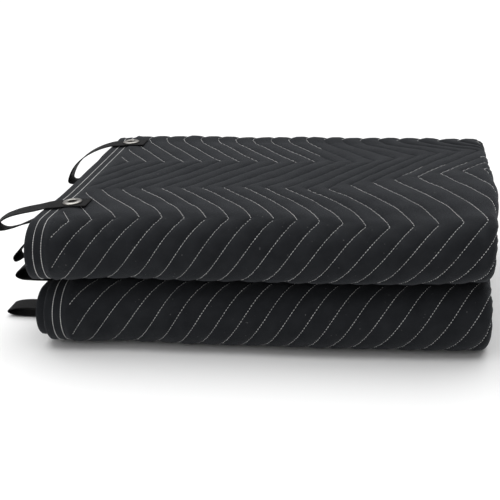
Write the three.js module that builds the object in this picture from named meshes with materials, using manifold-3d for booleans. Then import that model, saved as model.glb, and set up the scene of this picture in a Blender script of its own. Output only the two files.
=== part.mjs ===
// Sound dampening blanket, folded for storage: one quilted blanket in its folded stack,
// with its webbing loops and eyelets. Millimetres, X along the front, Y to the back, +Z up.
import * as THREE from 'three';
import Module from 'manifold-3d';
import { mergeVertices } from 'three/addons/utils/BufferGeometryUtils.js';

const wasm = await Module();
wasm.setup();

// Driving dimensions of the cloth
const plyThick = 5.2;          // quilted cloth, two covers and their fill
const plyGap = 0.7;            // air between two plies of one strip
const levelGap = 0.9;          // air between two levels of the stack
const stripThick = 4 * plyThick + 3 * plyGap;
const levelPitch = stripThick + levelGap;
const foldedRight = 228;       // right folds, from the middle of the front
const hemUpper = -228.6;       // hem edge of the three upper levels
const hemInset = 15;           // the lower levels' hem lies this much further in
const innerHemUpper = 2;       // how far the second ply's hem sticks out past the first
const innerHemLower = 11;
const hemDrop = 2;             // the hem is stitched flat by this much
const hemBand = 17;
const hemRamp = 25;
const hemRound = 0.8;
const foldSetBack = 10;        // left fold between plies 3 and 4, from the hem

// Driving dimensions of the stack, seen from its right end
const frontY = -150;           // centre line of the two front folds
const backY = 187;             // outer face of the spine
const spineRadius = 36;
const curlClear = 4;           // between the spine and the folds inside it
const endShort = 44;           // the two tucked ends stop this far behind the front folds

// Quilting: zigzag stitch rows, one tip over the other along the blanket's length
const stitchPitch = 22.4;
const tipX = -186;             // the first tip on the front crest
const swing = 3 * stitchPitch; // sideways run of one arm
const quiltDepth = 1.3;
const hiddenPitch = 108;       // length of one arm where it can't be seen
const firstColumn = -2;
const lastColumn = 42;
const foldSteps = 6;           // facets round each right fold
const hiddenMerge = 4;
const hiddenArms = 7;          // arms of the zigzag from a front fold to a tucked end
const backArms = 4;            // arms from the top face round the spine to the lower bulge
const wideSteps = 8;           // facets round each front fold

// Zigzag corners on the top face, measured back from the front crest
const topCorners = [98.3, 208.7, 310.2];

// Webbing and eyelets
const webWidth = 25.4;
const webThick = 1.4;
const seat = 0.35;
const tuck = 12;               // how far a loop's ends reach in from the hem edge
const lowerTuck = 5.6;         // less on the lowest level, where the second hem is close
const eyeletRim = 10.3;
const eyeletHole = 4.75;
const eyeletBarrel = 5.75;
const eyeletPierce = 6.1;

const midDepth = stripThick / 2;
const tightRadius = levelPitch - levelGap / 2;
const wideRadius = levelPitch + stripThick / 2;
const curlY = backY - stripThick - curlClear - tightRadius;
const cornerY = backY - spineRadius;
const topZ = 5 * levelPitch + stripThick;
const middleZ = 3 * levelPitch - levelGap / 2;
const rightAxis = foldedRight - midDepth;
const wrap = Math.PI * midDepth;

// Knots of the settling table, and how far the cloth has risen or sunk there
const knotX = [-228.6, -185, -20, 130, 216];
const knotY = [-150, 0, 136];
const settleTop = [
  { y: -150, rise: [-3.5, -1.5, 2, -2.5, 2] },
  { y: 0, rise: [-3, 0, 3, 4, 6] },
  { y: 136, rise: [-1, 0, 0, 0, 0] },
];
const settleMiddle = [
  { y: -150, rise: [-1, 0, 0, 0, 4] },
  { y: 0, rise: [-1, 0, 1, 1, 3] },
  { y: 136, rise: [0, 0, 0, 0, 0] },
];
const flareBack = 9;           // the right end opens out towards the back
const lowerPull = 4;           // the lower levels' right end lies further in

const clamp = (v, low, high) => Math.min(Math.max(v, low), high);
const lerp = (a, b, t) => a + (b - a) * t;

// Straight-line look-up between the knots of a table, carried on past its first knot
function between(knots, values, at) {
  let k = 0;
  while (k < knots.length - 2 && at > knots[k + 1]) {
    k += 1;
  }
  const t = Math.min((at - knots[k]) / (knots[k + 1] - knots[k]), 1);
  return lerp(values[k], values[k + 1], t);
}

function riseAt(table, x, y) {
  const byRow = table.map((row) => between(knotX, row.rise, x));
  return between(knotY, byRow, Math.max(y, knotY[0]));
}

// The whole stack settles and leans a little, and every piece moves with it
function settle(point) {
  const high = clamp(point.z / middleZ, 0, 1);
  const higher = clamp((point.z - middleZ) / (topZ - middleZ), 0, 1);
  const middle = riseAt(settleMiddle, point.x, point.y);
  const top = riseAt(settleTop, point.x, point.y);
  const acrossX = clamp((point.x - knotX[1]) / (knotX[4] - knotX[1]), 0, 2);
  const backward = clamp((point.y - frontY) / (cornerY - frontY), 0, 1);
  const x = point.x + acrossX * (flareBack * backward - lowerPull * (1 - higher));
  return new THREE.Vector3(x, point.y, point.z + lerp(middle * high, top, higher));
}

// A panel lying flat, from one end to the other, with a row at each knot on its way
function panel(rows, y0, y1, z, inwardZ, shown, extra) {
  const low = Math.min(y0, y1);
  const high = Math.max(y0, y1);
  const at = [...knotY, ...extra].filter((y) => y > low + 1 && y < high - 1);
  const order = [y0, ...at.sort((a, b) => (a - b) * Math.sign(y1 - y0)), y1];
  for (const y of order) {
    rows.push({ y, z, ny: 0, nz: inwardZ, shown: shown(y) });
  }
}

// A fold: rows round an arc, without its two ends, which belong to the panels
function fold(rows, centre, radius, startDeg, endDeg, steps, shown) {
  for (let k = 1; k < steps; k += 1) {
    const a = THREE.MathUtils.degToRad(lerp(startDeg, endDeg, k / steps));
    rows.push({
      y: centre.y + radius * Math.cos(a), z: centre.z + radius * Math.sin(a),
      ny: -Math.cos(a), nz: -Math.sin(a), shown,
    });
  }
}

// The fold path from the end tucked into the upper bulge to the one in the lower bulge
function foldPath() {
  const rows = [];
  const lipY = frontY + 34;
  const hidden = () => false;
  const always = () => true;
  const nearFront = (y) => y < lipY + 1;
  const upperZ = 4 * levelPitch + stripThick;
  const middleTop = 2 * levelPitch + stripThick;
  panel(rows, frontY + endShort, curlY, upperZ, -1, hidden, []);
  fold(rows, { y: curlY, z: upperZ - tightRadius }, tightRadius, 90, -90, 4, false);
  panel(rows, curlY, frontY, 3 * levelPitch, 1, nearFront, [lipY]);
  fold(rows, { y: frontY, z: topZ - wideRadius }, wideRadius, -90, -270, wideSteps, true);
  const first = rows.length;
  panel(rows, frontY, cornerY, topZ, -1, always, topCorners.slice(0, 2).map((c) => frontY + c));
  fold(rows, { y: cornerY, z: topZ - spineRadius }, spineRadius, 90, 0, 5, true);
  straightSpine(rows);
  fold(rows, { y: cornerY, z: spineRadius }, spineRadius, 0, -90, 5, true);
  panel(rows, cornerY, frontY, 0, 1, hidden, []);
  fold(rows, { y: frontY, z: wideRadius }, wideRadius, -90, -270, wideSteps, true);
  panel(rows, frontY, curlY, middleTop, -1, nearFront, [lipY]);
  fold(rows, { y: curlY, z: middleTop - tightRadius }, tightRadius, 90, -90, 4, false);
  panel(rows, curlY, frontY + endShort, levelPitch, 1, hidden, []);
  measure(rows, first);
  return rows;
}

// The upright stretch of the spine
function straightSpine(rows) {
  for (const z of [topZ - spineRadius, spineRadius]) {
    rows.push({ y: backY, z, ny: -1, nz: 0, shown: true });
  }
}

// Run along the outer face, counted from the front crest
function measure(rows, first) {
  rows[0].s = 0;
  for (let k = 1; k < rows.length; k += 1) {
    const step = Math.hypot(rows[k].y - rows[k - 1].y, rows[k].z - rows[k - 1].z);
    rows[k].s = rows[k - 1].s + step;
  }
  const zero = rows[first].s;
  for (const row of rows) {
    row.s -= zero;
  }
}

// Corners of the zigzag all along the blanket, the tips at 0 and the notches at one swing
function zigzagCorners(rows) {
  const foldRun = frontFoldRun(rows);
  const lowerStart = rows.filter((r) => r.z < 0.01 && r.y === frontY)[0].s;
  const corners = [{ s: 0, tip: true }];
  let tip = true;
  const add = (list, s) => {
    tip = !tip;
    list.push({ s, tip });
  };
  for (const s of topCorners) {
    add(corners, s);
  }
  const last = topCorners[topCorners.length - 1];
  for (let k = 1; k <= backArms; k += 1) {
    add(corners, lerp(last, lowerStart, k / backArms));
  }
  add(corners, lowerStart + foldRun);
  for (let k = 1; k <= hiddenArms; k += 1) {
    add(corners, lowerStart + foldRun + k * hiddenPitch);
  }
  const before = [];
  tip = true;
  for (let k = 0; k < hiddenArms + 1; k += 1) {
    add(before, -foldRun - k * hiddenPitch);
  }
  return [...before.reverse(), ...corners];
}

function frontFoldRun(rows) {
  const start = rows.findIndex((r) => r.s === 0);
  return rows[start].s - rows[start - wideSteps].s;
}

// Sideways place of the stitch rows at a run along the blanket
function zigzag(corners, s) {
  let k = 0;
  while (k < corners.length - 2 && s > corners[k + 1].s) {
    k += 1;
  }
  const a = corners[k];
  const b = corners[k + 1];
  const t = (s - a.s) / (b.s - a.s);
  return lerp(a.tip ? 0 : -swing, b.tip ? 0 : -swing, t);
}

// How far in the hems lie: the lower levels' hem moves over along the spine
function hemAt(row) {
  const low = row.s < 0 ? 0 : clamp((row.s - topCorners[2]) / (spineRadius * 3), 0, 1);
  return {
    outer: hemUpper + hemInset * low,
    inner: hemUpper + hemInset * low - lerp(innerHemUpper, innerHemLower, low),
  };
}

// Half circle of a fold, without its ends, from one depth to the other
function foldArc(x, depth, radius, side, fromTop, steps) {
  const points = [];
  for (let k = 1; k < steps; k += 1) {
    const a = (Math.PI * k) / steps;
    const c = fromTop ? -Math.cos(a) : Math.cos(a);
    points.push({ x: x + side * radius * Math.sin(a), d: depth + radius * c });
  }
  return points;
}

const level = (depth, xs) => xs.map((x) => ({ x, d: depth }));

// How deep the quilting sinks at a run across the blanket, least between two stitch rows
function quiltSink(run) {
  const turns = run / stitchPitch;
  return quiltDepth * Math.abs(2 * (turns - Math.floor(turns)) - 1);
}

// Quilted outer face of the first ply in one row, from its hem to past the right fold
function quiltedFace(row, corners) {
  const hem = hemAt(row).outer;
  const start = hem + hemRamp;
  const shift = zigzag(corners, row.s);
  const place = (j) => tipX + (j * stitchPitch) / 2 + shift;
  const points = level(hemDrop, [hem + hemRound, hem + hemBand]);
  for (let j = firstColumn; j <= lastColumn; j += 1) {
    const free = place(row.shown ? j : hiddenMerge * Math.floor(j / hiddenMerge));
    const x = clamp(free, start, rightAxis);
    const sunk = row.shown && x === free && j % 2 === 0 ? quiltDepth : 0;
    points.push({ x, d: sunk });
  }
  points.push({ x: rightAxis, d: 0 });
  for (let k = 1; k < foldSteps; k += 1) {
    const angle = (Math.PI * k) / foldSteps;
    const run = rightAxis + midDepth * angle - tipX - shift;
    const radius = midDepth - (row.shown ? quiltSink(run) : 0);
    points.push({
      x: rightAxis + radius * Math.sin(angle), d: midDepth - radius * Math.cos(angle),
    });
  }
  points.push({ x: rightAxis, d: stripThick });
  return points;
}

// Section of the strip across the blanket's width: its four plies, back and forth
function stripSection(row, corners) {
  const hem = hemAt(row);
  const leftAxis = hem.outer + foldSetBack;
  const [, k1, k2, k3] = knotX;
  const across = [rightAxis, k3, k2, k1];
  const back = [...across].reverse();
  const top = (ply) => ply * (plyThick + plyGap);
  const under = (ply) => top(ply) + plyThick;
  const leftDepth = (top(2) + under(3)) / 2;
  const small = plyThick + plyGap / 2;
  const tight = plyGap / 2;
  return [
    ...quiltedFace(row, corners),
    ...level(under(3), [k3, k2, k1, leftAxis]),
    ...foldArc(leftAxis, leftDepth, small, -1, false, 4),
    ...level(top(2), [leftAxis, ...back]),
    { x: rightAxis + tight, d: midDepth },
    ...level(under(1), [...across, hem.inner + hemRound]),
    { x: hem.inner, d: (top(1) + hemDrop + under(1)) / 2 },
    ...level(top(1) + hemDrop, [hem.inner + hemRound, hem.inner + hemBand]),
    ...level(top(1), [hem.inner + hemRamp, ...back]),
    ...foldArc(rightAxis, midDepth, small, 1, true, 4),
    ...level(under(2), [...across, leftAxis]),
    { x: leftAxis - tight, d: leftDepth },
    ...level(top(3), [leftAxis, ...back]),
    ...foldArc(rightAxis, midDepth, midDepth - plyThick, 1, false, 4),
    ...level(under(0), [...across, hem.outer + hemRound]),
    { x: hem.outer, d: (hemDrop + under(0)) / 2 },
  ];
}

// Flat panel under a closed ring of section points, by triangles over the deduplicated ring
function capFaces(section, offset, reversed) {
  const kept = [];
  section.forEach((p, i) => {
    const prev = section[kept.length ? kept[kept.length - 1] : 0];
    if (!kept.length || Math.hypot(p.x - prev.x, p.d - prev.d) > 1e-3) {
      kept.push(i);
    }
  });
  const ring = kept.map((i) => new THREE.Vector2(section[i].x, section[i].d));
  const faces = THREE.ShapeUtils.triangulateShape(ring, []);
  return faces.flatMap(([a, b, c]) => {
    const tri = [kept[a] + offset, kept[b] + offset, kept[c] + offset];
    return reversed ? tri.reverse() : tri;
  });
}

// Closed mesh from rings of points, joined in order, with its two end caps
function sweptGeometry(rings, caps) {
  const n = rings[0].length;
  const positions = rings.flat().flatMap((p) => [p.x, p.y, p.z]);
  const index = [];
  for (let r = 0; r + 1 < rings.length; r += 1) {
    for (let k = 0; k < n; k += 1) {
      const a = r * n + k;
      const b = r * n + ((k + 1) % n);
      index.push(a, b, b + n, a, b + n, a + n);
    }
  }
  index.push(...caps);
  const geometry = new THREE.BufferGeometry();
  geometry.setAttribute('position', new THREE.Float32BufferAttribute(positions, 3));
  geometry.setIndex(index);
  return outward(withoutSlivers(mergeVertices(geometry, 1e-3)));
}

// Leaves out the triangles whose corners fell together
function withoutSlivers(geometry) {
  const old = geometry.index.array;
  const kept = [];
  for (let i = 0; i < old.length; i += 3) {
    const [a, b, c] = [old[i], old[i + 1], old[i + 2]];
    if (a !== b && b !== c && c !== a) {
      kept.push(a, b, c);
    }
  }
  geometry.setIndex(kept);
  return geometry;
}

// Turns the faces out where they point in
function outward(geometry) {
  const position = geometry.attributes.position;
  const index = Array.from(geometry.index.array);
  const [a, b, c] = [new THREE.Vector3(), new THREE.Vector3(), new THREE.Vector3()];
  let volume = 0;
  for (let i = 0; i < index.length; i += 3) {
    a.fromBufferAttribute(position, index[i]);
    b.fromBufferAttribute(position, index[i + 1]);
    c.fromBufferAttribute(position, index[i + 2]);
    volume += a.dot(b.cross(c));
  }
  geometry.setIndex(volume < 0 ? index.reverse() : index);
  return geometry;
}

function toSolid(geometry) {
  const plain = mergeVertices(geometry, 1e-3);
  return new wasm.Manifold(new wasm.Mesh({
    numProp: 3,
    vertProperties: new Float32Array(plain.attributes.position.array),
    triVerts: new Uint32Array(plain.index.array),
  }));
}

function fromSolid(solid) {
  const mesh = solid.getMesh();
  const geometry = new THREE.BufferGeometry();
  geometry.setAttribute('position', new THREE.BufferAttribute(mesh.vertProperties, 3));
  geometry.setIndex(new THREE.BufferAttribute(mesh.triVerts, 1));
  return mergeVertices(geometry, 1e-3);
}

// The folded blanket: the strip's section carried along the fold path
function blanketGeometry() {
  const rows = foldPath();
  const corners = zigzagCorners(rows);
  const sections = rows.map((row) => stripSection(row, corners));
  const rings = rows.map((row, r) => sections[r].map((p) => settle({
    x: p.x, y: row.y + row.ny * p.d, z: row.z + row.nz * p.d,
  })));
  const last = (rings.length - 1) * rings[0].length;
  const caps = [
    ...capFaces(sections[0], 0, true),
    ...capFaces(sections[sections.length - 1], last, false),
  ];
  return sweptGeometry(rings, caps);
}

// Webbing: a flat band through its stations, each a place, with the band's tilt in degrees
function webbingGeometry(centreY, stations) {
  const curve = new THREE.CatmullRomCurve3(
    stations.map((s) => settle({ x: s.x, y: centreY, z: s.z })), false, 'centripetal',
  );
  const steps = 34;
  const tilts = stations.map((s) => s.tilt);
  const rings = [];
  for (let k = 0; k <= steps; k += 1) {
    const t = k / steps;
    const at = curve.getPointAt(t);
    const along = curve.getTangentAt(t);
    const station = t * (stations.length - 1);
    const from = Math.min(Math.floor(station), stations.length - 2);
    const tilt = lerp(tilts[from], tilts[from + 1], station - from);
    const wide = new THREE.Vector3(0, 1, 0);
    wide.applyAxisAngle(along, THREE.MathUtils.degToRad(tilt));
    wide.addScaledVector(along, -wide.dot(along)).normalize();
    const thick = new THREE.Vector3().crossVectors(along, wide);
    rings.push([[-1, -1], [1, -1], [1, 1], [-1, 1]].map(([w, h]) => at.clone()
      .addScaledVector(wide, (w * webWidth) / 2)
      .addScaledVector(thick, (h * webThick) / 2)));
  }
  const last = steps * 4;
  const caps = [2, 1, 0, 3, 2, 0, last, last + 1, last + 2, last, last + 2, last + 3];
  return sweptGeometry(rings, caps);
}

// Heights of the two strands where they hold the hem of a level, outer face first
const onTop = topZ - hemDrop + seat + webThick / 2;
const underTop = topZ - plyThick - seat - webThick / 2;
const overCloth = topZ + seat + webThick / 2;

// Loops, from the strand on the cloth's face round the tip and back under the hem
const loops = [
  {
    name: 'loop_front_top', y: -103, eyelet: -202,
    stations: [
      { x: -184, z: overCloth, tilt: 0 },
      { x: -194, z: overCloth, tilt: 0 },
      { x: -205, z: overCloth, tilt: 0 },
      { x: -216, z: overCloth - 0.7, tilt: 0 },
      { x: -228, z: onTop + 0.6, tilt: 0 },
      { x: -241, z: 139, tilt: 0 },
      { x: -256, z: 136.5, tilt: 0 },
      { x: -270, z: 133, tilt: 0 },
      { x: -282, z: 127, tilt: 0 },
      { x: -289, z: 119.5, tilt: -4 },
      { x: -283, z: 115.5, tilt: -8 },
      { x: -270, z: 117, tilt: -10 },
      { x: -256, z: 122, tilt: -10 },
      { x: -244, z: 126.5, tilt: -8 },
      { x: -237, z: 132, tilt: -4 },
      { x: -232, z: underTop - 0.2, tilt: 0 },
      { x: -224, z: underTop, tilt: 0 },
      { x: hemUpper + tuck, z: underTop, tilt: 0 },
    ],
  },
  {
    name: 'loop_back_top', y: 141, eyelet: -204,
    stations: [
      { x: -185, z: overCloth, tilt: 0 },
      { x: -195, z: overCloth, tilt: 0 },
      { x: -206, z: overCloth, tilt: 0 },
      { x: -217, z: overCloth - 0.7, tilt: 0 },
      { x: -229, z: onTop + 0.6, tilt: 0 },
      { x: -247, z: 136.5, tilt: 0 },
      { x: -264, z: 128, tilt: 0 },
      { x: -278, z: 116.5, tilt: 0 },
      { x: -287, z: 103, tilt: 0 },
      { x: -290, z: 92, tilt: 0 },
      { x: -284, z: 90, tilt: 0 },
      { x: -274, z: 98, tilt: 0 },
      { x: -262, z: 109, tilt: 0 },
      { x: -249, z: 120, tilt: 0 },
      { x: -238.5, z: 130.5, tilt: 0 },
      { x: -232, z: underTop - 0.4, tilt: 0 },
      { x: -224, z: underTop - 0.3, tilt: 0 },
      { x: hemUpper + tuck, z: underTop - 0.3, tilt: 0 },
    ],
  },
  {
    name: 'loop_middle_level', y: -92,
    stations: [
      { x: hemUpper + tuck, z: onTop - levelPitch, tilt: 0 },
      { x: -222, z: onTop - levelPitch, tilt: 0 },
      { x: -229, z: onTop - levelPitch, tilt: 0 },
      { x: -238, z: 114, tilt: 0 },
      { x: -249, z: 106.5, tilt: 0 },
      { x: -259, z: 98, tilt: 0 },
      { x: -268, z: 88.5, tilt: 0 },
      { x: -275, z: 79.5, tilt: 0 },
      { x: -273.5, z: 75.5, tilt: 0 },
      { x: -266, z: 78.5, tilt: 0 },
      { x: -257, z: 86.5, tilt: 0 },
      { x: -248, z: 95, tilt: 0 },
      { x: -240, z: 103.5, tilt: 0 },
      { x: -235, z: 109.3, tilt: 0 },
      { x: -231.5, z: underTop - levelPitch - 0.2, tilt: 0 },
      { x: -224, z: underTop - levelPitch, tilt: 0 },
      { x: hemUpper + tuck, z: underTop - levelPitch, tilt: 0 },
    ],
  },
  {
    name: 'loop_low_level', y: -137,
    stations: [
      { x: hemUpper + tuck, z: 3 * levelPitch + topZ - underTop, tilt: 0 },
      { x: -222, z: 3 * levelPitch + topZ - underTop + 0.2, tilt: 0 },
      { x: -231.5, z: 3 * levelPitch + topZ - underTop + 0.2, tilt: 0 },
      { x: -236, z: 81, tilt: 0 },
      { x: -243, z: 86.5, tilt: 0 },
      { x: -251, z: 83, tilt: 0 },
      { x: -254.5, z: 77.5, tilt: 0 },
      { x: -249, z: 73.8, tilt: 0 },
      { x: -239, z: 72.8, tilt: 0 },
      { x: -228, z: 3 * levelPitch + topZ - onTop, tilt: 0 },
      { x: -222, z: 3 * levelPitch + topZ - onTop, tilt: 0 },
      { x: hemUpper + tuck, z: 3 * levelPitch + topZ - onTop, tilt: 0 },
    ],
  },
  {
    name: 'loop_lower_bulge', y: -77,
    stations: [
      { x: hemUpper + hemInset + lowerTuck, z: topZ - underTop, tilt: 0 },
      { x: -222, z: topZ - underTop, tilt: 0 },
      { x: -232, z: 6.6, tilt: 0 },
      { x: -246, z: 8.6, tilt: 0 },
      { x: -262, z: 10.2, tilt: 0 },
      { x: -278, z: 10.4, tilt: 0 },
      { x: -290, z: 8.8, tilt: 0 },
      { x: -297, z: 5.6, tilt: 0 },
      { x: -291, z: 2.2, tilt: 0 },
      { x: -281, z: 1.15, tilt: 0 },
      { x: -262, z: 1, tilt: 0 },
      { x: -240, z: topZ - onTop, tilt: 0 },
      { x: -222, z: topZ - onTop, tilt: 0 },
      { x: hemUpper + hemInset + lowerTuck, z: topZ - onTop, tilt: 0 },
    ],
  },
];

// Stands a piece made round the Z axis on the settled cloth under an eyelet
function standOnCloth(geometry, loop) {
  const at = (dx, dy) => settle({ x: loop.eyelet + dx, y: loop.y + dy, z: topZ });
  const alongX = at(8, 0).sub(at(-8, 0));
  const alongY = at(0, 8).sub(at(0, -8));
  const up = alongX.cross(alongY).normalize();
  const turn = new THREE.Quaternion().setFromUnitVectors(new THREE.Vector3(0, 0, 1), up);
  geometry.deleteAttribute('normal');
  geometry.deleteAttribute('uv');
  geometry.applyQuaternion(turn);
  const centre = at(0, 0);
  geometry.translate(centre.x, centre.y, centre.z);
  return geometry;
}

// Round cutter that pierces the webbing and the first ply under an eyelet
function piercer(loop) {
  const low = plyThick + plyGap / 2;
  const high = 5;
  const geometry = new THREE.CylinderGeometry(eyeletPierce, eyeletPierce, low + high, 20);
  geometry.rotateX(Math.PI / 2);
  geometry.translate(0, 0, (high - low) / 2);
  return toSolid(standOnCloth(geometry, loop));
}

// Eyelet: domed rim on the webbing and a barrel down through the cloth
function eyeletGeometry(loop) {
  const rest = seat + webThick + 0.3;
  const crown = 1.7;
  const profile = [
    [eyeletHole, -plyThick + 0.3],
    [eyeletBarrel, -plyThick + 0.3],
    [eyeletBarrel, rest],
    [eyeletRim, rest],
    [eyeletRim - 0.3, rest + 0.9],
    [eyeletRim - 2.4, rest + crown],
    [eyeletBarrel + 0.4, rest + crown],
    [eyeletHole, rest + 1],
    [eyeletHole, -plyThick + 0.3],
  ].map(([r, z]) => new THREE.Vector2(r, z));
  const geometry = new THREE.LatheGeometry(profile, 24);
  geometry.rotateX(Math.PI / 2);
  return outward(withoutSlivers(mergeVertices(standOnCloth(geometry, loop), 1e-3)));
}

// Finish of each material
const finishes = {
  cloth: { color: 0x1f2227, roughness: 0.92, metalness: 0 },
  webbing: { color: 0x141517, roughness: 0.85, metalness: 0 },
  metal: { color: 0xb9babb, roughness: 0.35, metalness: 1 },
};

function piece(name, geometry, finish) {
  geometry.computeVertexNormals();
  const mesh = new THREE.Mesh(geometry, new THREE.MeshStandardMaterial(finishes[finish]));
  mesh.name = name;
  return mesh;
}

// The whole part: the blanket, pierced under its two eyelets, then its loops and eyelets
function build() {
  const group = new THREE.Group();
  let cloth = toSolid(blanketGeometry());
  for (const loop of loops) {
    let band = toSolid(webbingGeometry(loop.y, loop.stations));
    if (loop.eyelet) {
      const cutter = piercer(loop);
      cloth = cloth.subtract(cutter);
      band = band.subtract(cutter);
      group.add(piece(loop.name.replace('loop', 'eyelet'), eyeletGeometry(loop), 'metal'));
    }
    group.add(piece(loop.name, fromSolid(band), 'webbing'));
  }
  group.add(piece('blanket', fromSolid(cloth), 'cloth'));
  return group;
}

// The origin is under the middle of the part, on the surface it lies on
function centred(group) {
  const box = new THREE.Box3().setFromObject(group);
  const middle = box.getCenter(new THREE.Vector3());
  group.position.set(-middle.x, -middle.y, -box.min.z);
  return group;
}

const group = centred(build());

export default group;
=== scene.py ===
import math
import random
import bpy
import bmesh
import numpy as np
from mathutils import Matrix, Vector


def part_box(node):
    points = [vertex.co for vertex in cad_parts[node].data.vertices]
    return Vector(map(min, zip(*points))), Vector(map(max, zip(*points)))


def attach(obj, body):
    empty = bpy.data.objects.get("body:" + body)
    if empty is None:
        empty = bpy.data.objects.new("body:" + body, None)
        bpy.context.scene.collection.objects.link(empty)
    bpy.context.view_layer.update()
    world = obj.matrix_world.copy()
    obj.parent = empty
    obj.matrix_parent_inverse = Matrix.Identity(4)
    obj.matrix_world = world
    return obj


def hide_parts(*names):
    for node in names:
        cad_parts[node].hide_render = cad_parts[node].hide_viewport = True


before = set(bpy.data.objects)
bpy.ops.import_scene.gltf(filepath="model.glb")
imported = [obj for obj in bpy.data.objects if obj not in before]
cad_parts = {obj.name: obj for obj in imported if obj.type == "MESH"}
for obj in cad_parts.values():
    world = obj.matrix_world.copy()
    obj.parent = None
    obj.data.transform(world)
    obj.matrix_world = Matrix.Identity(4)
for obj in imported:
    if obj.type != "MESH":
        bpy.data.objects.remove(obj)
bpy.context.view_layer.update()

# The folded sound dampening blanket: one quilted sheet of four plies across and six levels
# high, its webbing loops, its eyelets and its stitching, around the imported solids.
MM = 0.001

# ---- the stack's sizes, in millimetres, as the solids have them
PLY, PLY_GAP, LEVEL_GAP = 5.2, 0.7, 0.9
STRIP = 4 * PLY + 3 * PLY_GAP  # one level: the blanket folded to four plies across
LEVEL = STRIP + LEVEL_GAP
# the hem's x on the upper bulge, its step in on the lower one, and the second ply's insets
HEM_UPPER, HEM_INSET, INNER_UPPER, INNER_LOWER = -228.6, 15.0, 2.0, 11.0
HEM_DROP, HEM_RAMP, FOLD_BACK = 2.0, 25.0, 10.0
FRONT_Y, BACK_Y, SPINE_R, END_SHORT = -150.0, 187.0, 36.0, 44.0
# stitch rows: step across, x of the first row's tip, and run of an arm that doesn't show
PITCH, TIP_X, HIDDEN_PITCH = 22.4, -186.0, 108.0
SWING = 3 * PITCH  # sideways travel of one arm
MID = STRIP / 2
TIGHT = LEVEL - LEVEL_GAP / 2  # radius of the tucked folds
WIDE = LEVEL + MID  # radius of the two rounded front folds
CURL_CLEAR = 4.0  # between a tucked fold and the spine
CURL_Y = BACK_Y - STRIP - CURL_CLEAR - TIGHT
CORNER_Y = BACK_Y - SPINE_R
TOP_Z = 5 * LEVEL + STRIP
MIDDLE_Z = 3 * LEVEL - LEVEL_GAP / 2
RIGHT = 228.0 - MID
TOP_CORNERS = [98.3, 208.7, 310.2]  # the zigzag's corners on the top face, from its front
# uneven rise of the top and the middle of the stack over a grid of x and y
KNOT_X = [-228.6, -185.0, -20.0, 130.0, 216.0]
KNOT_Y = [-150.0, 0.0, 136.0]
RISE_TOP = [[-3.5, -1.5, 2, -2.5, 2], [-3, 0, 3, 4, 6], [-1, 0, 0, 0, 0]]
RISE_MIDDLE = [[-1, 0, 0, 0, 4], [-1, 0, 1, 1, 3], [0, 0, 0, 0, 0]]
BACK_SPREAD, LOW_NARROW = 9.0, 4.0  # the right end: wider at the back, narrower lower down
QUILT = 2.1  # depth of a stitched groove
ROW_STEP = 2.8  # step along the cloth where it shows

cloth_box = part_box("blanket")
SHIFT_X = cloth_box[0][0] / MM - (HEM_UPPER - INNER_UPPER)
SHIFT_Y = cloth_box[0][1] / MM - (FRONT_Y - WIDE)


def extended(knots, values, at):
    """Straight-line look-up, carried on past the first knot and flat past the last."""
    at = np.minimum(at, knots[-1])
    slope = (values[1] - values[0]) / (knots[1] - knots[0])
    return np.where(at < knots[0], values[0] + slope * (at - knots[0]),
                    np.interp(at, knots, values))


def rise(table, x, y):
    """Rise of the stack at x and y, read from a grid of knots."""
    rows = [extended(KNOT_X, row, x) for row in table]
    y = np.clip(y, KNOT_Y[0], KNOT_Y[-1])
    t0 = np.clip((y - KNOT_Y[0]) / (KNOT_Y[1] - KNOT_Y[0]), 0, 1)
    t1 = np.clip((y - KNOT_Y[1]) / (KNOT_Y[2] - KNOT_Y[1]), 0, 1)
    return rows[0] + (rows[1] - rows[0]) * t0 + (rows[2] - rows[1]) * t1


def settle(x, y, z):
    """Model millimetres to the settled stack, in the frame's metres."""
    x, y, z = (np.asarray(v, dtype=float) for v in (x, y, z))
    high = np.clip(z / MIDDLE_Z, 0, 1)
    higher = np.clip((z - MIDDLE_Z) / (TOP_Z - MIDDLE_Z), 0, 1)
    middle, top = rise(RISE_MIDDLE, x, y), rise(RISE_TOP, x, y)
    across = np.clip((x - KNOT_X[1]) / (KNOT_X[4] - KNOT_X[1]), 0, 2)
    backward = np.clip((y - FRONT_Y) / (CORNER_Y - FRONT_Y), 0, 1)
    sx = x + across * (BACK_SPREAD * backward - LOW_NARROW * (1 - higher))
    sz = z + middle * high * (1 - higher) + top * higher
    return np.stack([sx + SHIFT_X, y + SHIFT_Y, sz], axis=-1) * MM


def smooth(t):
    t = np.clip(t, 0, 1)
    return t * t * (3 - 2 * t)


# How the soft cloth lies off the plain folds: set back at the front, fuller at the back
SET_X = [-228, -185, -140, 0, 100, 160, 216]
SET_UPPER = [8, 13, 18, 19, 20, 22, 25]
SET_LOWER = [11, 15, 19, 20, 22, 25, 30]
CREST_X = [-185, -142, -97, -52, 39, 83, 105, 150, 171, 194, 217]
CREST_RISE = [0, 1.4, 1.8, 1.3, 1.4, 0.3, -1.8, -1.8, -1.2, 0, 1.2]
CREST_Y, CREST_REACH = -112, 30
CROWN, CROWN_Y, CROWN_REACH = 2.6, -78, 40  # swell of the top face behind its front edge
CROWN_X, CROWN_SIDE = -165, 60
UPPER_FROM, UPPER_OVER, TOP_FROM, TOP_OVER = 35, 70, 100, 40  # heights where these take over
REAR_OUT, REAR_UP, REAR_Y, REAR_REACH = 10, 5.5, 150, 18
FRONT_START, FRONT_REACH = -50, 100  # y where the set-back begins, and its way forward
LEFT_X, LEFT_REACH, RIGHT_X, RIGHT_REACH = -100, 100, 100, 116
RIGHT_OUT, RIGHT_IN_LOWER, RIGHT_IN_UPPER = 8, 1.5, 3.5
LEFT_SLANT, LEFT_OUT_LOWER = 0.45, 2


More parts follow.
